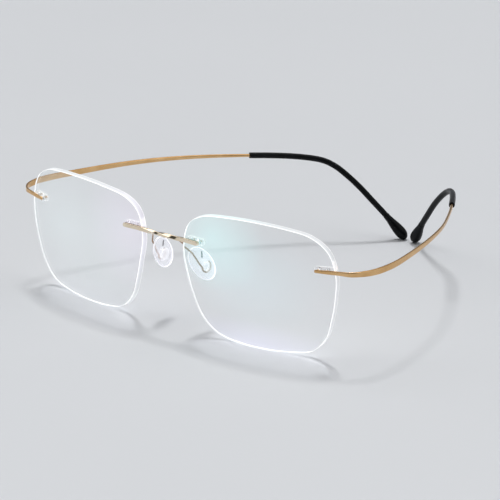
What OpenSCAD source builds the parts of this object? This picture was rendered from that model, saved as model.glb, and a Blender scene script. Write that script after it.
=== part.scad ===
// Rimless eyeglasses: two drilled lenses, a twisted bridge, hook pad arms and hingeless spring temples.
// +Z is up, the lenses face -Y, X = 0 is the plane of symmetry, and Z = 0 is the table they stand on.

/* [Lenses] */
// Lens width from its nasal edge to its temple edge
lens_w = 56; // [52:0.5:58]
// Lens height
lens_h = 42.2; // [38:0.1:44]
// Gap between the two lenses
bridge_gap = 17; // [16:0.5:19]
// Lens thickness
lens_t = 2; // [1.6:0.1:2.4]
// Radius of the lens's front surface
lens_r = 130; // [110:5:200]
// How far the temple side of each lens swings back, in degrees
wrap = 8.7; // [5:0.1:10]
// How far the top of each lens leans forward, in degrees
lean = 5.1; // [3:0.1:7]

/* [Lens fittings] */
// Distance between the two holes of a fitting
hole_pitch = 3; // [2.6:0.1:3.4]
// Diameter of each lens hole
hole_d = 1.5; // [1.4:0.05:1.7]
// Distance from the lens edge to the middle of a fitting
edge_to_fitting = 4.2; // [4:0.1:5]
// Diameter of the metal prongs
prong_d = 0.8; // [0.6:0.05:0.9]
// Thickness of a bushing's plate behind the lens
bushing_t = 1; // [0.8:0.1:1.4]
// Height of a bushing's plate
bushing_h = 2.2; // [2:0.1:2.6]
// Gap from the end of a bushing's plate to the lens edge
bushing_to_edge = 0.4; // [0.2:0.1:1]

/* [Metal] */
// Height of the temple strip where it lies on the lens
clip_h = 1.3; // [1:0.1:1.8]
// Height of the temple strip along its bow
strip_h = 2.1; // [1.5:0.1:2.3]
// Thickness of the temple strip
strip_t = 0.6; // [0.5:0.05:0.8]
// Diameter of the temple wire where it enters its sleeve
wire_d = 1; // [0.8:0.05:1.1]
// Width of the bridge bar
bar_w = 1.4; // [1.2:0.1:1.8]
// Thickness of the bridge bar
bar_t = 1.1; // [0.8:0.05:1.2]
// Angle through which the bar twists from one lens to the other
bar_twist = 180; // [0:180:360]
// Diameter of the pad arm wire
arm_d = 0.5; // [0.4:0.05:0.6]

/* [Nose pads] */
// Length of a pad
pad_l = 14.4; // [12:0.1:15]
// Width of a pad
pad_w = 8; // [7:0.1:8.5]
// Radius of the pad's face against the nose
pad_face_r = 26; // [24:1:34]
// Radius of the hook round the pad's boss
hook_r = 1.8; // [1.7:0.05:2]
// Diameter of the pad's boss
boss_d = 2.6; // [2.2:0.1:2.8]

/* [Sleeves] */
// Outer diameter of the ear sleeve
sleeve_d = 2; // [1.8:0.1:2.4]
// Largest diameter of the teardrop end
tip_d = 3.8; // [3:0.1:4.2]
// Length of the teardrop end
tip_l = 10.8; // [9:0.1:13]

/* [Hidden] */

$fn = 64;
fine = 180;
right = -1;
left = 1;
seat_gap = 0.05;
gold = [0.80, 0.62, 0.36];
steel = [0.30, 0.29, 0.28];
clear = [0.90, 0.95, 0.96, 0.35];
silicone = [0.92, 0.92, 0.95, 0.5];
black = [0.06, 0.06, 0.07];

// The lens outline at its drawn size: out towards the temple, up
drawn_w = 56;
drawn_h = 42.2;
outline_points = [[27.2, 0], [27.6, 7.5], [25.2, 14.7], [19.2, 19.1], [11, 20.7], [0, 21.4],
    [-11, 21.1], [-20.6, 19.7], [-26.4, 15.6], [-28.3, 7.6], [-27, 0], [-25.1, -6.8],
    [-22.4, -13.1], [-17.8, -17.8], [-11.5, -19.9], [0, -20.7], [11.5, -20.1], [18.4, -18.5],
    [23.3, -13.6], [25.7, -7]];
outline = [for (p = closed_curve(outline_points, 6)) [p.x * lens_w / drawn_w, p.y * lens_h / drawn_h]];
nasal_reach = 28.42 * lens_w / drawn_w;

// Where the lenses stand
face_y = -61.32;
lens_x = bridge_gap / 2 + nasal_reach * cos(wrap) + 0.39;
lens_z = 20.47 * lens_h / drawn_h;
hole_u = [-(27.9 * lens_w / drawn_w - edge_to_fitting), 27.5 * lens_w / drawn_w - edge_to_fitting];
hole_v = [11, 8.9];

// The strip lies on the lens and runs past its edge
strip_y = -seat_gap - strip_t / 2;
clip_in = -hole_pitch / 2 - 0.3;
clip_out = edge_to_fitting + 1.6;
bar_y = -seat_gap - bar_t / 2;
tab_out = -edge_to_fitting + 0.9;
prong_end = lens_t + bushing_t;

// The temple's centreline after the clip: out from the middle, back from the lens faces, up
temple_points = [[68.2, 8.2, 29.9], [70.3, 10.5, 30], [71.6, 13.4, 30], [72.2, 16.8, 30],
    [72.2, 20.5, 30], [71.6, 26, 30], [70, 33, 30], [66.9, 44.3, 30.1], [62.9, 56, 30.1],
    [58, 67.2, 29.9], [52.2, 77.3, 29.6], [46.2, 86.7, 29.1], [40.5, 94.8, 28.6],
    [35.2, 101.9, 27.9], [30.6, 107.4, 27], [27, 110.7, 26], [23.6, 112.9, 24.2],
    [20, 114.7, 21.4], [16, 116.7, 17.6], [12, 118.8, 13.1]];
tip_start = [7.9, 121, 8.4];
tip_finish = [1.6, 124.7, 0.34];
curve_steps = 4;
strip_steps = 20;
flare_steps = 7;
sleeve_at = 50;

temple_axis = unit(tip_finish - tip_start);
tip_tail = tip_start + 1.5 * temple_axis;
clip_end = from_site(left, clip_out, strip_y, 0);
route_knots = concat([from_site(left, clip_in, strip_y, 0), clip_end],
    [for (p = concat(temple_points, [tip_start, tip_tail])) p + [0, face_y, 0]]);
route = [for (i = [curve_steps : (len(route_knots) - 1) * curve_steps]) open_curve(route_knots, i, curve_steps)];
strip_route = part_of(route, 0, strip_steps);
wire_route = part_of(route, strip_steps, len(route) - 1);
sleeve_route = part_of(route, sleeve_at, len(route) - 1 - curve_steps);

// The hook plane of a pad: Y points at the nose, X back along it, Z up
boss_at = [9.75, face_y + 9.12, 20.18];
pad_turn = 85;
pad_flare = -6;
pad_slant = 42.8;
pad_mid = [-0.93, 0, 1.02];
groove = 1.1;
pad_back = 0.55;
pad_t = 1.4;
flange_d = 3.3;
flange_t = 0.3;
plate_d = 4;
plate_t = 0.5;
plate_y = pad_back + 0.3;
tongue_at = [-0.97, 0.76, 3.98];
tongue = [0.35, 0.4, 2];
tongue_gap = 0.04;
hook_from = 180;
hook_to = 417;
hook_step = 15.8;

// The pad arm's centreline from inside the bridge bar to the hook: out, back, up
arm_points = [[4.7, -2.6, 31.2], [5, -1.2, 30.6], [5.6, 0, 29.7], [7.05, 1.65, 27.9], [8.65, 3.3, 25.9],
    [8.9, 4.1, 24.8], [9.1, 4.9, 23.6], [9.45, 6.35, 21.4]];
arm_knots = concat([for (p = arm_points) p + [0, face_y, 0]],
    [for (a = [hook_from : hook_step : hook_to]) from_pad(hook_r * cos(a), 0, hook_r * sin(a))]);
arm_steps = 2;
arm_route = [for (i = [0 : (len(arm_knots) - 1) * arm_steps]) open_curve(arm_knots, i, arm_steps)];

// The bridge bar between its two tabs
tab_end = from_site_nasal(tab_out, bar_y, 0);
bar_rise = -0.15;
bar_steps = 24;
bar_route = [for (i = [-bar_steps : bar_steps]) let (s = i / bar_steps)
    [tab_end.x * s, tab_end.y - 0.1 * (1 - s * s), tab_end.z + bar_rise * (1 - s * s)]];
bar_turn = [for (i = [-bar_steps : bar_steps]) -bar_twist * (1 + sin(90 * i / bar_steps)) / 2];

function unit(v) = v / norm(v);
function part_of(list, from, to) = [for (i = [from : to]) list[i]];

// A smooth curve that passes through its points
function between(a, b, c, d, t) =
    0.5 * (2 * b + (c - a) * t + (2 * a - 5 * b + 4 * c - d) * t * t + (3 * b - a - 3 * c + d) * t * t * t);
function closed_curve(p, steps) = [for (i = [0 : len(p) - 1]) for (j = [0 : steps - 1])
    between(p[(i + len(p) - 1) % len(p)], p[i], p[(i + 1) % len(p)], p[(i + 2) % len(p)], j / steps)];
function open_curve(p, i, steps) =
    let (k = min(floor(i / steps), len(p) - 2))
    between(p[max(k - 1, 0)], p[k], p[k + 1], p[min(k + 2, len(p) - 1)], i / steps - k);

// Points on a lens and on a pad, in the model's frame
function turn_x(p, a) = [p.x, p.y * cos(a) - p.z * sin(a), p.y * sin(a) + p.z * cos(a)];
function turn_z(p, a) = [p.x * cos(a) - p.y * sin(a), p.x * sin(a) + p.y * cos(a), p.z];
function site_pitch(k) = asin(hole_v[k] / lens_r);
function site_yaw(k) = asin(hole_u[k] / lens_r / cos(site_pitch(k)));
function on_lens(p) = turn_x(turn_z(p, wrap), lean) + [lens_x, face_y, lens_z];
function on_site(k, x, y, z) =
    on_lens(turn_z(turn_x([x, y - lens_r, z], -site_pitch(k)), site_yaw(k)) + [0, lens_r, 0]);
function from_site(side, x, y, z) = on_site(1, x, y, z);
function from_site_nasal(x, y, z) = on_site(0, x, y, z);
function from_pad(x, y, z) = turn_z(turn_x([x, y, z], pad_flare), pad_turn) + boss_at;

// A section carried along a route: up is the section's height direction, e its squareness
function rounded(c, e) = sign(c) * pow(abs(c), e);
function heading(p, i) = unit(p[min(i + 1, len(p) - 1)] - p[max(i - 1, 0)]);
function ring(at, ahead, up, turn, h, t, sides, e) =
    let (across = unit(cross(ahead, up)), above = cross(across, ahead))
    [for (k = [0 : sides - 1]) let (a = 360 * (k + 0.5) / sides, u = t / 2 * rounded(cos(a), e), v = h / 2 * rounded(sin(a), e))
        at + across * (u * cos(turn) - v * sin(turn)) + above * (u * sin(turn) + v * cos(turn))];
function skin(rings, sides, base, flip) = [for (i = [0 : rings - 2]) for (k = [0 : sides - 1])
    let (a = base + i * sides + k, b = base + i * sides + (k + 1) % sides, c = b + sides, d = a + sides)
    each flip ? [[a, c, b], [a, d, c]] : [[a, b, c], [a, c, d]]];
function flat(list) = [for (group = list) each group];

// Widths along a route, from one value at its start to another at its end
function taper(from, to, n) = [for (i = [0 : n - 1]) from + (to - from) * i / (n - 1)];
function constant(value, n) = [for (i = [0 : n - 1]) value];

module swept(route, heights, widths, squareness, turns, up, sides) {
    n = len(route);
    rings = [for (i = [0 : n - 1])
        ring(route[i], heading(route, i), up, turns[i], heights[i], widths[i], sides, squareness[i])];
    start_cap = [for (k = [sides - 1 : -1 : 0]) k];
    end_cap = [for (k = [0 : sides - 1]) (n - 1) * sides + k];
    polyhedron(flat(rings), concat(skin(n, sides, 0, false), [start_cap, end_cap]));
}

module swept_tube(route, outer_d, inner_d, up, sides) {
    n = len(route);
    outer = [for (i = [0 : n - 1]) ring(route[i], heading(route, i), up, 0, outer_d, outer_d, sides, 1)];
    inner = [for (i = [0 : n - 1]) ring(route[i], heading(route, i), up, 0, inner_d, inner_d, sides, 1)];
    wall = n * sides;
    last = (n - 1) * sides;
    ends = [for (k = [0 : sides - 1]) let (m = (k + 1) % sides)
        each [[m, k, wall + k], [m, wall + k, wall + m],
            [last + k, last + m, wall + last + m], [last + k, wall + last + m, wall + last + k]]];
    polyhedron(concat(flat(outer), flat(inner)),
        concat(skin(n, sides, 0, false), skin(n, sides, wall, true), ends));
}

// Everything is drawn for the wearer's left side and mirrored for the right
module on_side(side) {
    mirror([side == right ? 1 : 0, 0, 0]) children();
}

module in_lens() {
    translate([lens_x, face_y, lens_z]) rotate([lean, 0, 0]) rotate([0, 0, wrap]) children();
}

// The frame of a fitting: on the lens's front surface, Y into the lens, X towards the temple
module at_fitting(k) {
    in_lens() translate([0, lens_r, 0]) rotate([-site_pitch(k), 0, site_yaw(k)]) translate([0, -lens_r, 0]) children();
}

module at_pad() {
    translate(boss_at) rotate([0, 0, pad_turn]) rotate([pad_flare, 0, 0]) children();
}

// A rod along Y from y to y + l
module rod(d, y, l) {
    translate([0, y, 0]) rotate([-90, 0, 0]) cylinder(d = d, h = l);
}

module hole_pair() {
    for (x = [-hole_pitch / 2, hole_pitch / 2]) translate([x, 0, 0]) children();
}

module lens(side) {
    deep = 12;
    color(clear) on_side(side) difference() {
        in_lens() intersection() {
            translate([0, deep - 1, 0]) rotate([90, 0, 0]) linear_extrude(deep) polygon(outline);
            translate([0, lens_r, 0]) difference() {
                sphere(r = lens_r, $fn = fine);
                sphere(r = lens_r - lens_t, $fn = fine);
            }
        }
        for (k = [0, 1]) at_fitting(k) hole_pair() rod(hole_d, -1, lens_t + 2);
    }
}

module bushing(side, k) {
    behind = lens_t + 0.08;
    inner = -hole_pitch / 2 - 0.6;
    outer = edge_to_fitting - bushing_to_edge - bushing_h / 2;
    color(clear) on_side(side) at_fitting(k) difference() {
        union() {
            mirror([k == 0 ? 1 : 0, 0, 0]) {
                translate([inner, behind, -bushing_h / 2]) cube([outer - inner, bushing_t, bushing_h]);
                for (x = [inner, outer]) translate([x, 0, 0]) rod(bushing_h, behind, bushing_t);
            }
            hole_pair() rod(hole_d - 0.1, 0.1, lens_t);
        }
        hole_pair() rod(prong_d + 0.08, -1, lens_t + bushing_t + 3);
    }
}

// A flat tab on the lens with a round end and two prongs through the holes
module tab(round_at, straight_to, height, thick) {
    low = min(round_at, straight_to);
    translate([low, -seat_gap - thick, -height / 2]) cube([abs(straight_to - round_at), thick, height]);
    translate([round_at, 0, 0]) rod(height, -seat_gap - thick, thick);
    hole_pair() rod(prong_d, -seat_gap - thick / 2, prong_end + seat_gap + thick / 2);
}

module bridge_bar() {
    n = len(bar_route);
    swept(bar_route, constant(bar_w, n), constant(bar_t, n), constant(0.4, n), bar_turn, [0, 0, 1], 12);
}

module bridge() {
    color(gold) union() {
        for (side = [right, left]) on_side(side) at_fitting(0) tab(-clip_in, tab_out - 0.4, bar_w, bar_t);
        bridge_bar();
    }
}

module temple_clip(side) {
    color(gold) on_side(side) at_fitting(1) tab(clip_in, clip_out, clip_h, strip_t);
}

module spring_strip(side) {
    n = len(strip_route);
    heights = concat(taper(clip_h, strip_h, flare_steps), constant(strip_h, n - flare_steps));
    color(gold) on_side(side) swept(strip_route, heights, constant(strip_t, n),
        constant(0.5, n), constant(0, n), [0, 0, 1], 12);
}

module temple_wire(side) {
    n = len(wire_route);
    bare = sleeve_at - strip_steps;
    heights = concat(taper(strip_h, wire_d, bare), constant(wire_d, n - bare));
    widths = concat(taper(strip_t, wire_d, bare), constant(wire_d, n - bare));
    squareness = concat(taper(0.5, 1, bare), constant(1, n - bare));
    color(gold) on_side(side) swept(wire_route, heights, widths, squareness, constant(0, n), [0, 0, 1], 12);
}

module ear_sleeve(side) {
    color(black) on_side(side) swept_tube(sleeve_route, sleeve_d, wire_d + 0.15, [0, 0, 1], 14);
}

// A teardrop: a waist that meets the sleeve, then a cone that grows into a round end
module sleeve_end(side) {
    r = tip_d / 2;
    waist = sleeve_d / 2 + 0.1;
    bore = wire_d / 2 + 0.12;
    bore_l = 2.2;
    far = temple_axis;
    color(black) on_side(side) translate(tip_start + [0, face_y, 0])
        rotate([0, 90 - asin(far.z), atan2(far.y, far.x)]) rotate_extrude() difference() {
            union() {
                polygon([[0, 0.05], [waist, 0.05], [waist + 0.1, 1], [r, tip_l - r * 1.6], [0, tip_l - r * 1.6]]);
                polygon([for (i = [0 : 24]) let (a = i * 90 / 24)
                    [r * cos(a), tip_l - r * 1.6 + r * 1.6 * sin(a)], [0, tip_l - r * 1.6]]);
            }
            square([bore, bore_l]);
        }
}

module pad_arm(side) {
    n = len(arm_route);
    color(gold) difference() {
        on_side(side) swept(arm_route, constant(arm_d, n), constant(arm_d, n), constant(1, n), constant(0, n),
            [1, -0.6, 0.3], 10);
        bridge_bar();
    }
}

// The oval of a pad, grown by extra
module pad_oval(extra) {
    long = pad_l / 2 + extra;
    wide = pad_w / 2 + extra;
    polygon([for (a = [0 : 6 : 354]) [wide * cos(a), long * sin(a)]]);
}

module nose_pad(side) {
    color(silicone) on_side(side) at_pad() difference() {
        intersection() {
            translate(pad_mid + [0, pad_back + pad_t + 1, 0]) rotate([90, 0, 0]) rotate([0, 0, pad_slant])
                linear_extrude(pad_t + 1) pad_oval(0);
            translate(pad_mid + [0, pad_back + pad_t - pad_face_r, 0]) sphere(r = pad_face_r, $fn = fine);
        }
        rod(boss_d + 0.04, 0, plate_y);
        rod(plate_d + 0.04, plate_y - 0.02, plate_t + 0.04);
        translate(tongue_at) cube(tongue + 2 * tongue_gap * [1, 1, 1], center = true);
    }
}

module pad_core(side) {
    color(clear) on_side(side) at_pad() {
        rod(flange_d, -groove / 2 - flange_t, flange_t);
        rod(boss_d, -groove / 2, groove / 2 + plate_y);
        rod(plate_d, plate_y, plate_t);
    }
}

// A short metal bar inside the silicone, above the boss
module pad_tongue(side) {
    color(steel) on_side(side) at_pad() translate(tongue_at) cube(tongue, center = true);
}

lens(right);  // lens_right
lens(left);  // lens_left
bridge();
bushing(right, 0);  // nasal_bushing_right
bushing(left, 0);  // nasal_bushing_left
bushing(right, 1);  // temple_bushing_right
bushing(left, 1);  // temple_bushing_left
pad_arm(right);  // pad_arm_right
pad_arm(left);  // pad_arm_left
nose_pad(right);  // nose_pad_right
nose_pad(left);  // nose_pad_left
pad_core(right);  // pad_core_right
pad_core(left);  // pad_core_left
pad_tongue(right);  // pad_tongue_right
pad_tongue(left);  // pad_tongue_left
temple_clip(right);  // temple_clip_right
temple_clip(left);  // temple_clip_left
spring_strip(right);  // spring_strip_right
spring_strip(left);  // spring_strip_left
temple_wire(right);  // temple_wire_right
temple_wire(left);  // temple_wire_left
ear_sleeve(right);  // ear_sleeve_right
ear_sleeve(left);  // ear_sleeve_left
sleeve_end(right);  // sleeve_end_right
sleeve_end(left);  // sleeve_end_left
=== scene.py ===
import math

import bpy
import numpy as np
from mathutils import Matrix, Vector


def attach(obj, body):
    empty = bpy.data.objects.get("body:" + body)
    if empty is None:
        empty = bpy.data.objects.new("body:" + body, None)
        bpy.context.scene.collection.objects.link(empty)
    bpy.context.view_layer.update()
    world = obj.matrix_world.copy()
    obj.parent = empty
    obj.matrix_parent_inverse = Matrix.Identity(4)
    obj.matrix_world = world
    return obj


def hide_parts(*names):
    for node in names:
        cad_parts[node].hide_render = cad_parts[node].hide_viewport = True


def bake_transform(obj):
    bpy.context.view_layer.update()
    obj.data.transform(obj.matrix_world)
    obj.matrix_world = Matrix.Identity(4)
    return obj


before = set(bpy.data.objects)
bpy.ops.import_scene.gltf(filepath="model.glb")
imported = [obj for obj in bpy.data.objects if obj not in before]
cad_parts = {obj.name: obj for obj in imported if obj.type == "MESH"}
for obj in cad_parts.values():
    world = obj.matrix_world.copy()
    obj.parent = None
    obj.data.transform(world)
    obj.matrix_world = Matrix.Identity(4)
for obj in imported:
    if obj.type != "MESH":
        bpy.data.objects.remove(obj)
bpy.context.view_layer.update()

# Lengths of the pieces are in millimetres, as in the design; build() scales them to metres.
MM = 0.001
SHARP = math.radians(35)
LEFT, RIGHT = 1, -1
SIDES = {RIGHT: "right", LEFT: "left"}
NASAL, TEMPLE = 0, 1

# Lenses
LENS_T = 2.0
LENS_R = 130.0
WRAP = math.radians(8.7)
LEAN = math.radians(5.1)
LENS_AT = np.array([36.98, -61.32, 20.47])
OUTLINE = [
    (27.2, 0), (27.6, 7.5), (25.2, 14.7), (19.2, 19.1), (11, 20.7), (0, 21.4), (-11, 21.1), (-20.6, 19.7),
    (-26.4, 15.6), (-28.3, 7.6), (-27, 0), (-25.1, -6.8), (-22.4, -13.1), (-17.8, -17.8), (-11.5, -19.9),
    (0, -20.7), (11.5, -20.1), (18.4, -18.5), (23.3, -13.6), (25.7, -7),
]
LENS_RINGS = 24
LENS_SAFETY = 0.12

# Painted reflections of the lens coat, laid on as faint glow: centre and reach in metres, and tint
PAINTED_COAT_REFLECTIONS = [
    ((0.020, -0.062, 0.034), (0.020, 0.06, 0.018), (0.05, 0.19, 0.18)),
    ((0.034, -0.060, 0.024), (0.026, 0.06, 0.018), (0.01, 0.06, 0.07)),
    ((0.034, -0.058, 0.001), (0.030, 0.06, 0.009), (0.07, 0.06, 0.13)),
    ((-0.014, -0.062, 0.030), (0.020, 0.06, 0.022), (0.10, 0.07, 0.12)),
    ((-0.044, -0.060, 0.024), (0.036, 0.06, 0.026), (0.06, 0.09, 0.09)),
]

# Fittings
HOLE_PITCH = 3.0
HOLE_D = 1.5
EDGE_TO_FITTING = 4.2
FITTING_AT = {NASAL: (-23.7, 11), TEMPLE: (23.3, 8.9)}

# Metal
PRONG_D = 0.8
STRIP_T = 0.6
WIRE_D = 1.0
BAR_W, BAR_T = 1.4, 1.1
BAR_TWIST = math.radians(180)
BAR_RISE = -0.15
BAR_SQUARE = 0.3
BAR_TRIM = 0.95  # the turning middle of the bar, against its flat ends
BAR_TIP = 0.85  # its rounded tips
ARM_D = 0.5
SEAT_GAP = 0.05

# The temple's centreline after the clip: out from the middle, back from the lens faces, up
TEMPLE_POINTS = [
    (68.2, 8.2, 29.9), (70.3, 10.5, 30), (71.6, 13.4, 30), (72.2, 16.8, 30), (72.2, 20.5, 30),
    (71.6, 26, 30), (70, 33, 30), (66.9, 44.3, 30.1), (62.9, 56, 30.1), (58, 67.2, 29.9),
    (52.2, 77.3, 29.6), (46.2, 86.7, 29.1), (40.5, 94.8, 28.6), (35.2, 101.9, 27.9), (30.6, 107.4, 27),
    (27, 110.7, 26), (23.6, 112.9, 24.2), (20, 114.7, 21.4), (16, 116.7, 17.6), (12, 118.8, 13.1),
]
TIP_START = np.array([7.9, 121, 8.4])
TIP_FINISH = np.array([1.6, 124.7, 0.34])
SLEEVE_D, TIP_D, TIP_L = 2.0, 3.8, 10.8
SLEEVE_KNOT = 13.5

# The temple strip along its route: distance, height, thickness, squareness, turn
STRIP_KEYS = [
    (0, 0.9, 0.5, 0.5, 0), (4, 1.2, STRIP_T, 0.45, 0), (8.5, 1.25, STRIP_T, 0.4, 0), (12, 1.5, 0.58, 0.4, 0),
    (16, 1.85, 0.58, 0.4, 0), (22, 2.1, 0.58, 0.45, 0), (30, 2.1, 0.58, 0.45, 0), (51, 1.75, 0.68, 0.55, 0),
    (76, 1.4, 0.8, 0.8, 0), (103, WIRE_D, WIRE_D, 1, 0), (200, WIRE_D, WIRE_D, 1, 0),
]

# Bushings
BUSHING_R = 1.1
BUSHING_T = 1.0
BUSHING_SOFT = 0.22
BUSHING_BACK = 0.08
BUSHING_TO_EDGE = 0.4

# Nose pads
BOSS_AT = np.array([9.75, LENS_AT[1] + 9.12, 20.18])
PAD_TURN = math.radians(85)
PAD_FLARE = math.radians(-6)
PAD_SLANT = math.radians(42.8)
PAD_MID = (-0.93, 1.02)
PAD_L, PAD_W = 14.4, 8.0
PAD_BACK, PAD_T = 0.55, 1.4
PAD_RINGS = 14
PAD_GLOWING_RIM = 2.6  # rings of the rolled rim, on each side of the widest one, that the pad's material keeps milky and glowing as a painted white highlight
HOOK_R = 1.8
BOSS_D, FLANGE_D = 2.6, 3.3
TONGUE_AT = (-0.97, 0.76, 3.98)
TONGUE = (0.35, 0.4, 2.0)
ARM_POINTS = [
    (4.7, -2.6, 31.2), (5, -1.2, 30.6), (5.6, 0, 29.7), (7.05, 1.65, 27.9), (8.65, 3.3, 25.9),
    (8.9, 4.1, 24.8), (9.1, 4.9, 23.6), (9.45, 6.35, 21.4),
]

# Studio
FLOOR_TONES = (0.636, 0.652, 0.678), (0.650, 0.666, 0.691)
FLOOR_TURN = math.radians(40.4)
KEY_TOWARD = (0.648, -0.762)
KEY_ELEVATION, KEY_STRENGTH, KEY_ANGLE = 66, 1.25, 10
SKY_TOP = (-0.2, 0.3, 0.93)
SKY_EDGE = (0.62, 0.95)
SKY_LIGHT = (1.0, 1.01, 1.03)
PANEL = (-0.66, -0.1, 0.745)
PANEL_EDGE = (0.82, 0.93)
PANEL_LIGHT = (1.7, 1.68, 1.64)
# Light low round the studio: degrees from +X towards +Y, and level
HORIZON = [(-180, 0.45), (-165, 0.3), (-150, 0.07), (-35, 0.05), (-14, 0.2), (-6, 1.0), (10, 1.0), (25, 0.5),
           (80, 0.5), (140, 0.45), (180, 0.45)]

# Camera
AZIMUTH, ELEVATION, ROLL = math.radians(40.41), math.radians(17.35), math.radians(0.62)
TARGET = Vector((-0.0174, 0.0, 0.0076))
DISTANCE = 1.3147
FOCAL, SENSOR = 286.4, 36.0


# --- Curves and frames ---------------------------------------------------------------------------


def between(a, b, c, d, t):
    """The point a share t of the way from b to c, on a smooth curve through all four."""
    return 0.5 * (2 * b + (c - a) * t + (2 * a - 5 * b + 4 * c - d) * t * t + (3 * b - a - 3 * c + d) * t**3)


def curve(points, steps, closed=False):
    """A smooth curve through the points, with steps pieces between each two."""
    p = np.array(points, float)
    n = len(p)
    at = (lambda i: p[i % n]) if closed else (lambda i: p[min(max(i, 0), n - 1)])
    out = [between(at(i - 1), at(i), at(i + 1), at(i + 2), j / steps)
           for i in range(n if closed else n - 1) for j in range(steps)]
    return np.array(out if closed else out + [p[-1]])


def turn_x(p, a):
    x, y, z = np.atleast_2d(p).T
    return np.stack([x, y * math.cos(a) - z * math.sin(a), y * math.sin(a) + z * math.cos(a)], 1)


def turn_z(p, a):
    x, y, z = np.atleast_2d(p).T
    return np.stack([x * math.cos(a) - y * math.sin(a), x * math.sin(a) + y * math.cos(a), z], 1)


def on_lens(p):
    return turn_x(turn_z(p, WRAP), LEAN) + LENS_AT


def on_fitting(k, p):
    """From a fitting's frame to the model's: on the lens's front, Y into the lens, X to the temple."""
    u, v = FITTING_AT[k]
    pitch = math.asin(v / LENS_R)
    yaw = math.asin(u / LENS_R / math.cos(pitch))
    q = turn_z(turn_x(np.atleast_2d(p) - [0, LENS_R, 0], -pitch), yaw)
    return on_lens(q + [0, LENS_R, 0])


def on_pad(p):
    """From a pad's frame (the hook's plane, Y at the nose, X back along it, Z up) to the model's."""
    return turn_z(turn_x(p, PAD_FLARE), PAD_TURN) + BOSS_AT


# --- Meshes ----------------------------------------------------------------------------------------


def build(name, parts, side):
    """One object from parts, each (vertices in mm, faces, uvs per face corner)."""
    verts, faces, uvs = [], [], []
    for v, f, uv in parts:
        base = sum(len(x) for x in verts)
        verts.append(np.array(v, float))
        for face, corner_uv in zip(f, uv):
            corners = [base + int(k) for k in face]
            if side == RIGHT:
                corners, corner_uv = corners[::-1], corner_uv[::-1]
            faces.append(corners)
            uvs.extend(corner_uv)
    co = np.concatenate(verts) * MM
    if side == RIGHT:
        co[:, 0] *= -1
    mesh = bpy.data.meshes.new(name)
    mesh.from_pydata(co.tolist(), [], faces)
    layer = mesh.uv_layers.new(name="along")
    layer.data.foreach_set("uv", np.array(uvs, np.float32).ravel())
    mesh.shade_smooth()
    mesh.set_sharp_from_angle(angle=SHARP)
    mesh.update()
    obj = bpy.data.objects.new(name, mesh)
    bpy.context.scene.collection.objects.link(obj)
    return obj


def tube_faces(rings, sides, u=None, v=None):
    """Faces and uvs of rings of points joined in order, with a cap at each end."""
    faces, uvs = [], []
    u = np.arange(rings, dtype=float) if u is None else u
    v = np.arange(sides + 1) / sides if v is None else v
    for i in range(rings - 1):
        for k in range(sides):
            m = (k + 1) % sides
            faces.append((i * sides + k, i * sides + m, (i + 1) * sides + m, (i + 1) * sides + k))
            uvs.append([(u[i], v[k]), (u[i], v[k + 1]), (u[i + 1], v[k + 1]), (u[i + 1], v[k])])
    last = (rings - 1) * sides
    faces.append(tuple(range(sides - 1, -1, -1)))
    uvs.append([(u[0], v[0])] * sides)
    faces.append(tuple(last + k for k in range(sides)))
    uvs.append([(u[-1], v[0])] * sides)
    return faces, uvs


def flipped(faces, uvs):
    """The same faces, seen from their other side."""
    return [f[::-1] for f in faces], [uv[::-1] for uv in uvs]


def stations(length, spacing, bevels):
    """Distances along a route: even ones, and close ones in the rounded ends."""
    arc = 1 - np.cos(np.linspace(0, math.pi / 2, 6))
    middle = np.linspace(bevels[0], length - bevels[1], max(int((length - sum(bevels)) / spacing), 2))
    return np.unique(np.round(np.concatenate([bevels[0] * arc, middle, length - bevels[1] * arc]), 5))


def sweep(route, keys, spacing, bevels, sides, up=(0, 0, 1), flat_end=False):
    """A section carried along a route. keys are (distance, height, width, squareness, turn in radians)."""
    step = np.linalg.norm(np.diff(route, axis=0), axis=1)
    run = np.concatenate([[0], np.cumsum(step)])
    s = stations(run[-1], spacing, bevels)
    at = np.stack([np.interp(s, run, route[:, k]) for k in range(3)], 1)
    slope = np.gradient(route, run, axis=0)
    ahead = np.stack([np.interp(s, run, slope[:, k]) for k in range(3)], 1)
    ahead /= np.linalg.norm(ahead, axis=1)[:, None]
    across = np.cross(ahead, np.array(up, float))
    across /= np.linalg.norm(across, axis=1)[:, None]
    above = np.cross(across, ahead)
    keys = np.array(keys, float)
    high, wide, square, turn = (np.interp(s, keys[:, 0], keys[:, k]) for k in range(1, 5))
    cut = np.zeros(len(s))
    for bevel, gap in zip(bevels, (s, run[-1] - s)):
        near = np.clip(1 - gap / bevel, 0, 1)
        cut = np.maximum(cut, bevel * (1 - np.sqrt(1 - near**2)))
    high_cut = np.maximum(high - 2 * cut, 0.02 * high)
    wide_cut = wide if flat_end else np.maximum(wide - 2 * cut, 0.02 * wide)
    a = 2 * math.pi * (np.arange(sides) + 0.5) / sides
    c, d = np.cos(a), np.sin(a)
    u = wide_cut[:, None] / 2 * np.sign(c) * np.abs(c) ** square[:, None]
    w = high_cut[:, None] / 2 * np.sign(d) * np.abs(d) ** square[:, None]
    ct, st = np.cos(turn)[:, None], np.sin(turn)[:, None]
    verts = at[:, None] + across[:, None] * (u * ct - w * st)[:, :, None]
    verts = verts + above[:, None] * (u * st + w * ct)[:, :, None]
    around = np.arange(sides + 1) / sides * (high.mean() + wide.mean()) * 2
    faces, uvs = tube_faces(len(s), sides, s, around)
    return verts.reshape(-1, 3), faces, uvs


def lathe(profile, place, sides):
    """A solid of revolution about Y from (radius, y) points, put in the model by place()."""
    a = 2 * math.pi * np.arange(sides) / sides
    verts = np.array([[r * math.cos(t), y, r * math.sin(t)] for r, y in profile for t in a])
    run = np.cumsum([0] + [math.dist(p, q) for p, q in zip(profile, profile[1:])])
    faces, uvs = tube_faces(len(profile), sides, run, np.arange(sides + 1) / sides * 4)
    return place(verts), *flipped(faces, uvs)


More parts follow.
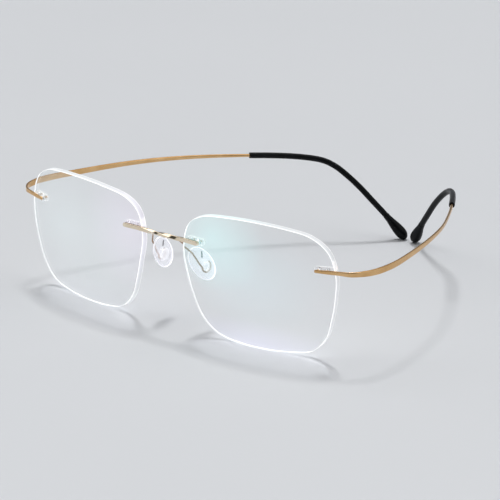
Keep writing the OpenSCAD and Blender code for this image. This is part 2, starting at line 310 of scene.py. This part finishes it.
def rounded_rod(r, start, finish, edge=0.06):
    """Lathe profile of a rod with softened ends."""
    arc = [math.pi / 2 * i / 4 for i in range(5)]
    first = [(r - edge + edge * math.sin(t), start + edge - edge * math.cos(t)) for t in arc]
    last = [(r - edge + edge * math.cos(t), finish - edge + edge * math.sin(t)) for t in arc]
    return [(0.02, start)] + first + last + [(0.02, finish)]


def shifted(place, x):
    return lambda p: place(np.atleast_2d(p) + [x, 0, 0])


# --- Materials -------------------------------------------------------------------------------------


class Nodes:
    """Short forms for building a node tree."""

    def __init__(self, name):
        self.material = bpy.data.materials.new(name)
        self.material.use_nodes = True
        self.tree = self.material.node_tree
        self.shader = self.tree.nodes["Principled BSDF"]
        self.output = self.tree.nodes["Material Output"]

    def add(self, kind, settings=None, **inputs):
        node = self.tree.nodes.new(kind)
        for key, value in (settings or {}).items():
            setattr(node, key, value)
        for key, value in inputs.items():
            self.put(node, key.replace("_", " "), value)
        return node

    def put(self, node, socket, value):
        socket = node.inputs[socket]
        if isinstance(value, bpy.types.NodeSocket):
            self.tree.links.new(value, socket)
        else:
            socket.default_value = value

    def coordinates(self):
        return self.add("ShaderNodeTexCoord").outputs["Object"]

    def along(self):
        """The piece's own uv: along it in X, and round it in Y."""
        return self.add("ShaderNodeUVMap", {"uv_map": "along"}).outputs["UV"]

    def stretched(self, vector, scale):
        return self.add("ShaderNodeMapping", Vector=vector, Scale=scale).outputs["Vector"]

    def noise(self, vector, scale, detail=4.0, roughness=0.55):
        node = self.add("ShaderNodeTexNoise", Vector=vector, Scale=scale, Detail=detail, Roughness=roughness)
        return node.outputs["Fac"]

    def ramp(self, factor, stops):
        node = self.add("ShaderNodeValToRGB", Fac=factor)
        elements = node.color_ramp.elements
        while len(elements) < len(stops):
            elements.new(0.5)
        for element, (position, colour) in zip(elements, stops):
            element.position = position
            element.color = (*colour, 1.0)
        return node.outputs["Color"]

    def spread(self, factor, low, high, within=(0.0, 1.0)):
        node = self.add("ShaderNodeMapRange", Value=factor)
        for socket, value in zip(("From Min", "From Max", "To Min", "To Max"), (*within, low, high)):
            node.inputs[socket].default_value = value
        return node.outputs["Result"]

    def paint_glow(self, colour, strength):
        """Painted glow: emission that stands in for the light a clear piece gathers."""
        self.put(self.shader, "Emission Color", colour)
        self.shader.inputs["Emission Strength"].default_value = strength

    def bump(self, height, strength, distance):
        node = self.add("ShaderNodeBump", Height=height, Strength=strength, Distance=distance)
        return node.outputs["Normal"]


def gold(name, tones, satin):
    """Gold-tone spring metal, finely brushed along its length."""
    n = Nodes(name)
    streaks = n.noise(n.stretched(n.along(), (0.35, 14, 1)), 3.0, 6.0, 0.6)
    cloud = n.noise(n.coordinates(), 160.0, 3.0)
    tone = n.add("ShaderNodeMath", {"operation": "MULTIPLY_ADD"})
    n.put(tone, 0, streaks)
    n.put(tone, 1, 0.6)
    n.put(tone, 2, cloud)
    n.put(n.shader, "Base Color", n.ramp(tone.outputs["Value"], list(zip((0.45, 0.7, 1.0), tones))))
    n.put(n.shader, "Roughness", n.spread(streaks, *satin))
    n.put(n.shader, "Normal", n.bump(streaks, 0.25, 0.00002))
    n.shader.inputs["Metallic"].default_value = 1.0
    return n.material


def gold_metal():
    """The satin temples."""
    return gold("satin_gold", ((0.58, 0.33, 0.13), (0.69, 0.42, 0.18), (0.79, 0.51, 0.25)), (0.16, 0.3))


def bridge_metal():
    """The bridge, a paler gold with a higher polish."""
    return gold("polished_gold", ((0.77, 0.61, 0.42), (0.88, 0.74, 0.55), (0.96, 0.85, 0.69)), (0.08, 0.2))


def wire_metal_painted_dark():
    """The thin pad arms, drawn wire; its browner, darker tone is painted shade standing in for the dark
    reflections the arms show.
    """
    return gold("gold_painted_dark", ((0.30, 0.19, 0.12), (0.38, 0.25, 0.16), (0.48, 0.33, 0.22)), (0.2, 0.34))


def clear_plastic():
    """Clear moulded plastic of the bushings and pad cores, with a painted glow that shows where it turns
    milky.
    """
    n = Nodes("clear_plastic")
    haze = n.noise(n.coordinates(), 900.0, 3.0)
    n.put(n.shader, "Base Color", n.ramp(haze, [(0.3, (0.92, 0.93, 0.94)), (0.7, (1.0, 1.0, 1.0))]))
    n.put(n.shader, "Roughness", n.spread(haze, 0.08, 0.2))
    n.put(n.shader, "Normal", n.bump(haze, 0.1, 0.00003))
    # Painted glow: faint emission in a slightly varied white, standing in for light the plastic gathers.
    n.paint_glow(n.ramp(haze, [(0.3, (0.9, 0.9, 0.88)), (0.7, (1.0, 1.0, 0.97))]), 0.36)
    n.shader.inputs["Specular IOR Level"].default_value = 0.7
    veiled(n, 0.16, 0.95, (0.3, 0.95))
    return n.material


def veiled(n, face_on, edge_on, between, rim=0.0):
    """A thin clear solid: see-through face on, and milky at its rim and where it is seen along its skin; the
    milky part carries the piece's painted glow, so these places show as painted white highlights.
    """
    clear = n.add("ShaderNodeBsdfTransparent", Color=(0.97, 0.97, 0.98, 1.0))
    turned = n.add("ShaderNodeLayerWeight", Blend=0.5).outputs["Facing"]
    # Where the piece turns milky it also shows its painted glow, a painted white highlight.
    milk_and_glow = n.add("ShaderNodeMath", {"operation": "MAXIMUM"})
    n.put(milk_and_glow, 0, n.spread(turned, face_on, edge_on, between))
    n.put(milk_and_glow, 1, rim)
    mix = n.add("ShaderNodeMixShader", Fac=milk_and_glow.outputs["Value"])
    n.tree.links.new(clear.outputs["BSDF"], mix.inputs[1])
    n.tree.links.new(n.shader.outputs["BSDF"], mix.inputs[2])
    n.tree.links.new(mix.outputs["Shader"], n.output.inputs["Surface"])


def pad_silicone():
    """Clear soft silicone with a faint surface haze, a painted glow, and a painted white highlight on its
    rolled rim.
    """
    n = Nodes("pad_silicone")
    haze = n.noise(n.coordinates(), 700.0, 5.0)
    n.put(n.shader, "Base Color", n.ramp(haze, [(0.3, (0.90, 0.90, 0.96)), (0.7, (0.97, 0.97, 1.0))]))
    n.put(n.shader, "Roughness", n.spread(haze, 0.15, 0.3))
    n.put(n.shader, "Normal", n.bump(haze, 0.15, 0.00004))
    # Painted glow: faint lilac-white emission standing in for light the silicone gathers.
    n.paint_glow(n.ramp(haze, [(0.3, (0.86, 0.86, 0.94)), (0.7, (0.97, 0.97, 1.0))]), 0.46)
    n.shader.inputs["Specular IOR Level"].default_value = 0.6
    # Painted highlight: the rings of the rolled rim are kept milky, so they glow as a white rim.
    ring = n.add("ShaderNodeSeparateXYZ", Vector=n.along()).outputs["X"]
    rim = n.add("ShaderNodeMath", {"operation": "COMPARE"})
    n.put(rim, 0, ring)
    n.put(rim, 1, PAD_RINGS - 1)
    n.put(rim, 2, PAD_GLOWING_RIM)
    veiled(n, 0.22, 1.0, (0.52, 0.86), rim.outputs["Value"])
    return n.material


def pad_steel():
    """Dull steel of the bars in the pads."""
    n = Nodes("pad_steel")
    grain = n.noise(n.coordinates(), 3000.0, 3.0)
    n.put(n.shader, "Base Color", n.ramp(grain, [(0.3, (0.10, 0.10, 0.10)), (0.7, (0.22, 0.21, 0.21))]))
    n.put(n.shader, "Roughness", n.spread(grain, 0.3, 0.5))
    n.shader.inputs["Metallic"].default_value = 1.0
    return n.material


def black_silicone():
    """Satin black silicone with a fine moulded grain."""
    n = Nodes("black_silicone")
    grain = n.noise(n.coordinates(), 2600.0, 4.0, 0.65)
    scuff = n.noise(n.coordinates(), 220.0, 3.0)
    tone = n.ramp(scuff, [(0.3, (0.003, 0.0035, 0.004)), (0.75, (0.008, 0.009, 0.011))])
    n.put(n.shader, "Base Color", tone)
    n.put(n.shader, "Roughness", n.spread(scuff, 0.26, 0.4))
    n.put(n.shader, "Normal", n.bump(grain, 0.2, 0.00003))
    n.shader.inputs["Specular IOR Level"].default_value = 0.12
    return n.material


def lens_face():
    """Clear lens with faint mint and lilac painted reflections of its anti-reflection coat, glowing by place
    on the lens.
    """
    n = Nodes("lens")
    place = n.coordinates()
    smear = n.noise(n.stretched(place, (1, 1, 2.2)), 60.0, 3.0)
    n.put(n.shader, "Roughness", n.spread(smear, 0.0, 0.012))
    n.put(n.shader, "Base Color", n.ramp(smear, [(0.3, (0.975, 0.985, 0.985)), (0.7, (0.985, 0.985, 0.99))]))
    n.shader.inputs["Transmission Weight"].default_value = 1.0
    n.shader.inputs["IOR"].default_value = 1.5
    # Painted reflections: soft balls of coloured emission placed on the lens, summed into its glow.
    painted_coat_glow = None
    for centre, size, colour in PAINTED_COAT_REFLECTIONS:
        away = n.add("ShaderNodeMapping", Vector=place, Location=[-c / w for c, w in zip(centre, size)],
                     Scale=[1 / w for w in size]).outputs["Vector"]
        ball = n.add("ShaderNodeTexGradient", {"gradient_type": "SPHERICAL"}, Vector=away)
        middle = [c * 0.45 for c in colour]
        one_painted_reflection = n.ramp(ball.outputs["Fac"], [(0.0, (0, 0, 0)), (0.45, middle), (1.0, colour)])
        if painted_coat_glow is None:
            painted_coat_glow = one_painted_reflection
        else:
            both = n.add("ShaderNodeMix", {"data_type": "RGBA", "blend_type": "ADD"})
            both.inputs["Factor"].default_value = 1.0
            n.tree.links.new(painted_coat_glow, both.inputs["A"])
            n.tree.links.new(one_painted_reflection, both.inputs["B"])
            painted_coat_glow = both.outputs["Result"]
    n.paint_glow(painted_coat_glow, 0.5)
    clear = n.add("ShaderNodeBsdfTransparent", Color=(0.84, 0.845, 0.86, 1.0))
    path = n.add("ShaderNodeLightPath")
    mix = n.add("ShaderNodeMixShader", Fac=path.outputs["Is Shadow Ray"])
    n.tree.links.new(n.shader.outputs["BSDF"], mix.inputs[1])
    n.tree.links.new(clear.outputs["BSDF"], mix.inputs[2])
    n.tree.links.new(mix.outputs["Shader"], n.output.inputs["Surface"])
    return n.material


def lens_edge():
    """The polished edge of a lens, with a painted glow for the light it gathers: brightest on its bevels,
    dimmer across the middle.
    """
    n = Nodes("lens_edge")
    ground = n.noise(n.coordinates(), 500.0, 4.0)
    n.put(n.shader, "Base Color", n.ramp(ground, [(0.3, (0.93, 0.95, 0.96)), (0.7, (1.0, 1.0, 1.0))]))
    n.put(n.shader, "Roughness", n.spread(ground, 0.12, 0.3))
    n.put(n.shader, "Normal", n.bump(ground, 0.1, 0.00003))
    # Painted glow across the edge: white on the two bevels, grey on the middle band.
    ring = n.add("ShaderNodeSeparateXYZ", Vector=n.along()).outputs["X"]
    across = n.spread(ring, 0.0, 1.0, (LENS_RINGS, LENS_RINGS + 3))
    white = (1, 1, 1)
    painted_edge_glow = n.ramp(across, [(0.0, white), (0.34, white), (0.4, (0.62, 0.63, 0.66)),
                            (0.6, (0.5, 0.51, 0.54)), (0.66, white)])
    n.paint_glow(painted_edge_glow, 0.66)
    n.shader.inputs["Transmission Weight"].default_value = 0.5
    n.shader.inputs["IOR"].default_value = 1.5
    return n.material


MADE = (gold_metal, bridge_metal, wire_metal_painted_dark, clear_plastic, pad_silicone, pad_steel, black_silicone,
        lens_face, lens_edge)
MATERIALS = {make.__name__: make() for make in MADE}


def dress(obj, *names):
    for name in names:
        obj.data.materials.append(MATERIALS[name])


# --- Pieces ----------------------------------------------------------------------------------------


def dome(flat, radius, shift=0.0):
    """Points laid on a sphere of the lens's centre, moved back by shift."""
    y = LENS_R - np.sqrt(radius**2 - (flat**2).sum(1)) + shift
    return np.stack([flat[:, 0], y, flat[:, 1]], 1)


def lens_mesh_parts():
    """Front and back spherical faces and a polished edge with a small safety bevel."""
    rim = curve(OUTLINE, 14, closed=True)
    n = len(rim)
    flats = [rim * share for share in np.linspace(0.04, 0.96, LENS_RINGS)]
    flats.append(rim * (1 - LENS_SAFETY / np.linalg.norm(rim, axis=1))[:, None])
    front = [dome(flat, LENS_R) for flat in flats]
    back = [dome(flat, LENS_R - LENS_T) for flat in flats]
    rings = [*front, dome(rim, LENS_R, LENS_SAFETY), dome(rim, LENS_R - LENS_T, -LENS_SAFETY), *back[::-1]]
    faces, uvs = tube_faces(len(rings), n, v=np.linspace(0, 160, n + 1))
    edge = range(len(front) - 1, len(front) + 2)
    slots = [int(i // n in edge) for i in range(len(faces) - 2)] + [0, 0]
    return on_lens(np.concatenate(rings)), *flipped(faces, uvs), slots


def lens(side):
    *part, slots = lens_mesh_parts()
    name = f"lens_glass_{SIDES[side]}"
    obj = build(name, [part], side)
    obj.data.polygons.foreach_set("material_index", slots)
    dress(obj, "lens_face", "lens_edge")
    rods = [lathe(rounded_rod(HOLE_D / 2, -1, LENS_T + 1), shifted(lambda p, k=k: on_fitting(k, p), x), 40)
            for k in (NASAL, TEMPLE) for x in (-HOLE_PITCH / 2, HOLE_PITCH / 2)]
    cutter = build("drill", rods, side)
    cut = obj.modifiers.new("holes", "BOOLEAN")
    cut.operation, cut.solver, cut.object = "DIFFERENCE", "EXACT", cutter
    drilled = obj.evaluated_get(bpy.context.evaluated_depsgraph_get())
    mesh = bpy.data.meshes.new_from_object(drilled)
    obj.modifiers.clear()
    obj.data = mesh
    mesh.name = name
    spoil = cutter.data
    bpy.data.objects.remove(cutter)
    bpy.data.meshes.remove(spoil)
    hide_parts(f"lens_{SIDES[side]}")
    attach(obj, "front")


def prongs(k, until):
    place = lambda p: on_fitting(k, p)
    profile = rounded_rod(PRONG_D / 2, -SEAT_GAP - 0.2, until, 0.1)
    return [lathe(profile, shifted(place, x), 20) for x in (-HOLE_PITCH / 2, HOLE_PITCH / 2)]


def bridge():
    """One twisted bar from lens to lens, with its flat ends on the lenses and two prongs through each."""
    reach = HOLE_PITCH / 2 + 0.3 + BAR_W / 2
    y = -SEAT_GAP - BAR_T / 2
    tab = on_fitting(NASAL, [[reach, y, 0], [0, y, 0], [-EDGE_TO_FITTING + 0.9, y, 0]])
    end = tab[-1]
    s = np.linspace(1, -1, 49)
    middle = np.stack([end[0] * s, end[1] - 0.1 * (1 - s**2), end[2] + BAR_RISE * (1 - s**2)], 1)
    mirror = np.array([-1, 1, 1])
    route = np.concatenate([tab[:-1], middle, (tab[:-1] * mirror)[::-1]])
    length = np.linalg.norm(np.diff(route, axis=0), axis=1).sum()
    flat = np.linalg.norm(np.diff(tab, axis=0), axis=1).sum()
    tip = (BAR_W * BAR_TIP, BAR_T * BAR_TIP, BAR_SQUARE)
    end_bar = (BAR_W, BAR_T, BAR_SQUARE)
    middle_bar = (BAR_W * BAR_TRIM, BAR_T * BAR_TRIM, BAR_SQUARE)
    keys = [(0, *tip, BAR_TWIST), (0.6, *end_bar, BAR_TWIST)]
    for share in np.linspace(0, 1, 25):
        turn = BAR_TWIST * (1 + math.cos(math.pi * share)) / 2
        keys.append((flat + share * (length - 2 * flat), *middle_bar, turn))
    keys += [(length - 0.6, *end_bar, 0), (length, *tip, 0)]
    bar = sweep(route, keys, 0.2, (0.5, 0.5), 40, flat_end=True)
    pins = []
    for v, f, uv in prongs(NASAL, LENS_T + 1):
        pins += [(v, f, uv), (v * mirror, *flipped(f, uv))]
    obj = build("bridge_bar", [bar, *pins], LEFT)
    dress(obj, "bridge_metal")
    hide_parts("bridge")
    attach(obj, "front")


def temple_route():
    """From the strip's tip on the lens to the wire's end inside the teardrop."""
    y = -SEAT_GAP - STRIP_T / 2
    clip = on_fitting(TEMPLE, [[-HOLE_PITCH / 2 - 1.05, y, 0], [EDGE_TO_FITTING + 1.6, y, 0]])
    tail = TIP_START + 1.5 * tip_axis()
    points = np.array(TEMPLE_POINTS + [tuple(TIP_START), tuple(tail)]) + [0, LENS_AT[1], 0]
    return np.concatenate([clip, points])


def tip_axis():
    d = TIP_FINISH - TIP_START
    return d / np.linalg.norm(d)


def temple(side):
    """One strip of spring metal that lies on the lens, bows round and ends as the wire inside the sleeve."""
    knots = temple_route()
    route = curve(knots, 12)
    strip = sweep(route, STRIP_KEYS, 0.4, (0.35, 0.1), 32)
    name = SIDES[side]
    obj = build(f"temple_strip_{name}", [strip, *prongs(TEMPLE, LENS_T + 1)], side)
    dress(obj, "gold_metal")
    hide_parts(f"temple_clip_{name}", f"spring_strip_{name}", f"temple_wire_{name}")
    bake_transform(obj)


def bushing(side, k):
    """A clear double plug: a plate behind the lens and two barrels through it."""
    place = lambda p: on_fitting(k, p)
    y = LENS_T + BUSHING_BACK
    r = BUSHING_R
    inner, outer = -HOLE_PITCH / 2 - 0.6, EDGE_TO_FITTING - BUSHING_TO_EDGE - r
    middle, half = (inner + outer) / 2, (outer - inner) / 2
    if k == NASAL:
        middle = -middle
    arc = np.linspace(-math.pi / 2, math.pi / 2, 17)
    outline = [(way * (half + r * math.cos(t)), way * r * math.sin(t)) for way in (1, -1) for t in arc]
    flat = np.array(outline)
    soft, thick = BUSHING_SOFT, BUSHING_T
    rings = []
    for inset, depth in [(soft, 0), (soft * 0.3, soft * 0.3), (0, soft), (0, thick - soft),
                         (soft * 0.3, thick - soft * 0.3), (soft, thick)]:
        scale = 1 - inset / np.array([half + r, r])
        level = np.full(len(flat), y + depth)
        rings.append(np.stack([middle + flat[:, 0] * scale[0], level, flat[:, 1] * scale[1]], 1))
    sides = len(flat)
    skin = tube_faces(len(rings), sides, v=np.linspace(0, 4, sides + 1))
    plate = (place(np.concatenate(rings)), *flipped(*skin))
    barrels = [lathe(rounded_rod(HOLE_D / 2 - 0.05, 0.08, y + 0.02), shifted(place, x), 28)
               for x in (-HOLE_PITCH / 2, HOLE_PITCH / 2)]
    where = "nasal" if k == NASAL else "temple"
    obj = build(f"{where}_plug_{SIDES[side]}", [plate, *barrels], side)
    dress(obj, "clear_plastic")
    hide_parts(f"{where}_bushing_{SIDES[side]}")
    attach(obj, "front")


def pad_arm(side):
    """A thin wire from the back of the bridge that ends in a hook round the pad's boss."""
    knots = [np.array(p) + [0, LENS_AT[1], 0] for p in ARM_POINTS]
    for a in np.radians(np.arange(180, 417.1, 15.8)):
        knots.append(on_pad([[HOOK_R * math.cos(a), 0, HOOK_R * math.sin(a)]])[0])
    route = curve(knots, 8)
    wire = sweep(route, [(0, ARM_D, ARM_D, 1, 0)], 0.2, (0.1, 0.18), 20, up=(1, -0.6, 0.3))
    obj = build(f"pad_wire_{SIDES[side]}", [wire], side)
    # The arms wear a gold darkened with painted shade.
    dress(obj, "wire_metal_painted_dark")
    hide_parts(f"pad_arm_{SIDES[side]}")
    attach(obj, "front")


def pad(side):
    """A soft oval pad, crowned towards the nose, with a rolled rim."""
    sides = 72
    a = 2 * math.pi * np.arange(sides) / sides
    wide, long = PAD_W / 2 * np.cos(a), PAD_L / 2 * np.sin(a)
    c, d = math.cos(PAD_SLANT), math.sin(PAD_SLANT)
    oval = np.stack([wide * c - long * d, wide * d + long * c], 1)
    edge_y = PAD_BACK + 0.4
    verts = []
    for facing, swell in ((-1, 0.35), (1, PAD_T - 0.45)):
        shares = np.sin(np.linspace(0.03, math.pi / 2, PAD_RINGS))
        if facing == 1:
            shares = shares[::-1][1:]
        for share in shares:
            y = edge_y + facing * swell * (1 - share**2.6) ** 0.5
            x, z = (oval * share + PAD_MID).T
            verts.append(np.stack([x, np.full(sides, y), z], 1))
    skin = tube_faces(len(verts), sides, v=np.linspace(0, 20, sides + 1))
    body = (on_pad(np.concatenate(verts)), *flipped(*skin))
    obj = build(f"pad_{SIDES[side]}", [body], side)
    dress(obj, "pad_silicone")
    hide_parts(f"nose_pad_{SIDES[side]}")
    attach(obj, f"pad_{SIDES[side]}")


def pad_core(side):
    """The hard clear boss that the hook clips round, with a groove between two flanges."""
    r = BOSS_D / 2
    lip = FLANGE_D / 2
    profile = [(0.02, -0.85), (lip - 0.3, -0.85), (lip - 0.08, -0.8), (lip, -0.7), (lip - 0.05, -0.6),
               (r + 0.1, -0.54), (r, -0.45), (r, 0.7), (1.9, 0.85), (2.0, 0.95), (2.0, 1.25), (1.9, 1.35),
               (0.02, 1.35)]
    obj = build(f"pad_boss_{SIDES[side]}", [lathe(profile, on_pad, 40)], side)
    dress(obj, "clear_plastic")
    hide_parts(f"pad_core_{SIDES[side]}")
    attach(obj, f"pad_{SIDES[side]}")


def ear_sleeve(side):
    """A soft tube over the wire, cut square where the wire goes in."""
    dense = 12
    route = curve(temple_route(), dense)
    route = route[round(SLEEVE_KNOT * dense):len(route) - dense]
    outer = sweep(route, [(0, SLEEVE_D, SLEEVE_D, 1, 0)], 0.5, (0.12, 0.05), 28)
    obj = build(f"sleeve_{SIDES[side]}", [outer], side)
    dress(obj, "black_silicone")
    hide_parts(f"ear_sleeve_{SIDES[side]}")
    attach(obj, f"temple_{SIDES[side]}")


def pad_tongue(side):
    """A short metal bar in the silicone, above the boss."""
    half = np.array(TONGUE) / 2
    soft = 0.06
    verts = []
    for y, inset in ((-half[1], soft), (-half[1] + soft, 0), (half[1] - soft, 0), (half[1], soft)):
        for c, d in ((-1, -1), (1, -1), (1, 1), (-1, 1)):
            verts.append((c * (half[0] - inset), y, d * (half[2] - inset)))
    bar = (on_pad(np.array(verts) + TONGUE_AT), *flipped(*tube_faces(4, 4)))
    obj = build(f"pad_bar_{SIDES[side]}", [bar], side)
    dress(obj, "pad_steel")
    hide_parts(f"pad_tongue_{SIDES[side]}")
    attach(obj, f"pad_{SIDES[side]}")


def sleeve_end(side):
    """A teardrop with a narrow waist where it meets the sleeve and a round end."""
    r, waist = TIP_D / 2, SLEEVE_D / 2
    profile = [(0.02, 0.0), (waist - 0.12, 0.0), (waist - 0.06, 0.1), (waist + 0.06, 0.16),
               (waist + 0.1, 0.4)]
    neck, end = 0.8, TIP_L - 1.6 * r
    for t in np.linspace(0, 1, 16):
        swell = (3 * t**2 - 2 * t**3) ** 0.85
        profile.append((waist + 0.1 + (r - waist - 0.1) * swell, neck + (end - neck) * t))
    for t in np.linspace(0.08, math.pi / 2 - 0.02, 18):
        profile.append((r * math.cos(t) + 0.001, end + 1.6 * r * math.sin(t)))
    axis = tip_axis()
    start = TIP_START + [0, LENS_AT[1], 0]
    side_way = np.cross(axis, [0, 0, 1.0])
    side_way /= np.linalg.norm(side_way)
    third = np.cross(side_way, axis)
    place = lambda p: start + p @ np.array([side_way, axis, third])
    obj = build(f"teardrop_{SIDES[side]}", [lathe(profile, place, 36)], side)
    dress(obj, "black_silicone")
    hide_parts(f"sleeve_end_{SIDES[side]}")
    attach(obj, f"temple_{SIDES[side]}")


# --- Studio ----------------------------------------------------------------------------------------


def backdrop():
    """A pale seamless sheet: floor in front, curving up a long way behind."""
    width, front, back, radius, height = 6.0, -2.5, 1.6, 1.2, 3.0
    profile = [(front, 0.0), (back, 0.0)]
    for t in np.linspace(0, math.pi / 2, 24)[1:]:
        profile.append((back + radius * math.sin(t), radius * (1 - math.cos(t))))
    profile.append((back + radius, height))
    verts = [(x, y, z) for y, z in profile for x in (-width / 2, width / 2)]
    faces = [(2 * i, 2 * i + 1, 2 * i + 3, 2 * i + 2) for i in range(len(profile) - 1)]
    mesh = bpy.data.meshes.new("backdrop")
    mesh.from_pydata(verts, [], faces)
    mesh.shade_smooth()
    obj = bpy.data.objects.new("backdrop", mesh)
    obj.rotation_euler.z = FLOOR_TURN
    bpy.context.scene.collection.objects.link(obj)
    n = Nodes("backdrop")
    paper = n.noise(n.coordinates(), 3.0, 2.0)
    n.put(n.shader, "Base Color", n.ramp(paper, [(0.35, FLOOR_TONES[0]), (0.65, FLOOR_TONES[1])]))
    n.shader.inputs["Roughness"].default_value = 0.9
    n.shader.inputs["Specular IOR Level"].default_value = 0.1
    mesh.materials.append(n.material)


def key_light(toward, elevation, strength, angle):
    """A small far lamp whose light travels along the ground direction toward, coming down at elevation."""
    light = bpy.data.lights.new("key", "SUN")
    light.energy, light.angle = strength, math.radians(angle)
    ground = Vector((*toward, 0)).normalized() * math.cos(math.radians(elevation))
    ray = ground - Vector((0, 0, math.sin(math.radians(elevation))))
    obj = bpy.data.objects.new("key", light)
    obj.location = -ray
    obj.rotation_mode = "QUATERNION"
    obj.rotation_quaternion = ray.to_track_quat("-Z", "Y")
    bpy.context.scene.collection.objects.link(obj)


def ringed(tree, vector, stops):
    """A colour by compass direction: stops are (degrees from +X towards +Y, level)."""
    ring = tree.nodes.new("ShaderNodeTexGradient")
    ring.gradient_type = "RADIAL"
    tree.links.new(vector, ring.inputs["Vector"])
    ramp = tree.nodes.new("ShaderNodeValToRGB")
    elements = ramp.color_ramp.elements
    while len(elements) < len(stops):
        elements.new(0.5)
    for element, (degrees, level) in zip(elements, stops):
        element.position = (degrees + 180) / 360
        element.color = (level, level, level, 1.0)
    tree.links.new(ring.outputs["Fac"], ramp.inputs["Fac"])
    return ramp.outputs["Color"]


def patch(tree, vector, middle, edge):
    """1 round the direction middle, fading to 0 between the two cosines of edge."""
    dot = tree.nodes.new("ShaderNodeVectorMath")
    dot.operation = "DOT_PRODUCT"
    dot.inputs[1].default_value = middle
    tree.links.new(vector, dot.inputs[0])
    fade = tree.nodes.new("ShaderNodeMapRange")
    for socket, value in zip(("From Min", "From Max"), edge):
        fade.inputs[socket].default_value = value
    tree.links.new(dot.outputs["Value"], fade.inputs["Value"])
    return fade.outputs["Result"]


def laid_over(tree, factor, under, colour):
    mix = tree.nodes.new("ShaderNodeMix")
    mix.data_type = "RGBA"
    tree.links.new(factor, mix.inputs["Factor"])
    tree.links.new(under, mix.inputs["A"])
    mix.inputs["B"].default_value = (*colour, 1.0)
    return mix.outputs["Result"]


def sky():
    """Bright above and low on the left, dim in front, with a soft panel up on the right."""
    world = bpy.data.worlds.new("studio")
    world.use_nodes = True
    tree = world.node_tree
    where = tree.nodes.new("ShaderNodeTexCoord").outputs["Generated"]
    low = ringed(tree, where, HORIZON)
    high = laid_over(tree, patch(tree, where, SKY_TOP, SKY_EDGE), low, SKY_LIGHT)
    lit = laid_over(tree, patch(tree, where, PANEL, PANEL_EDGE), high, PANEL_LIGHT)
    tree.links.new(lit, tree.nodes["Background"].inputs["Color"])
    bpy.context.scene.world = world


def studio():
    backdrop()
    sky()
    key_light(KEY_TOWARD, KEY_ELEVATION, KEY_STRENGTH, KEY_ANGLE)
    bpy.context.scene.view_settings.view_transform = "Standard"


def camera():
    """Looks at the glasses from their front left, a long way off through a long lens."""
    flat = math.cos(ELEVATION)
    ahead = Vector((-math.sin(AZIMUTH) * flat, math.cos(AZIMUTH) * flat, -math.sin(ELEVATION)))
    level = Vector((math.cos(AZIMUTH), math.sin(AZIMUTH), 0))
    right = math.cos(ROLL) * level + math.sin(ROLL) * level.cross(ahead)
    up = right.cross(ahead)
    data = bpy.data.cameras.new("camera")
    data.lens, data.sensor_width = FOCAL, SENSOR
    data.clip_end = 20
    obj = bpy.data.objects.new("camera", data)
    aim = Matrix((right, up, -ahead)).transposed().to_4x4()
    obj.matrix_world = Matrix.Translation(TARGET - DISTANCE * ahead) @ aim
    bpy.context.scene.collection.objects.link(obj)
    bpy.context.scene.camera = obj


studio()
camera()
bridge()
for side in SIDES:
    lens(side)
    bushing(side, NASAL)
    bushing(side, TEMPLE)
    temple(side)
    ear_sleeve(side)
    sleeve_end(side)
    pad_arm(side)
    pad(side)
    pad_core(side)
    pad_tongue(side)
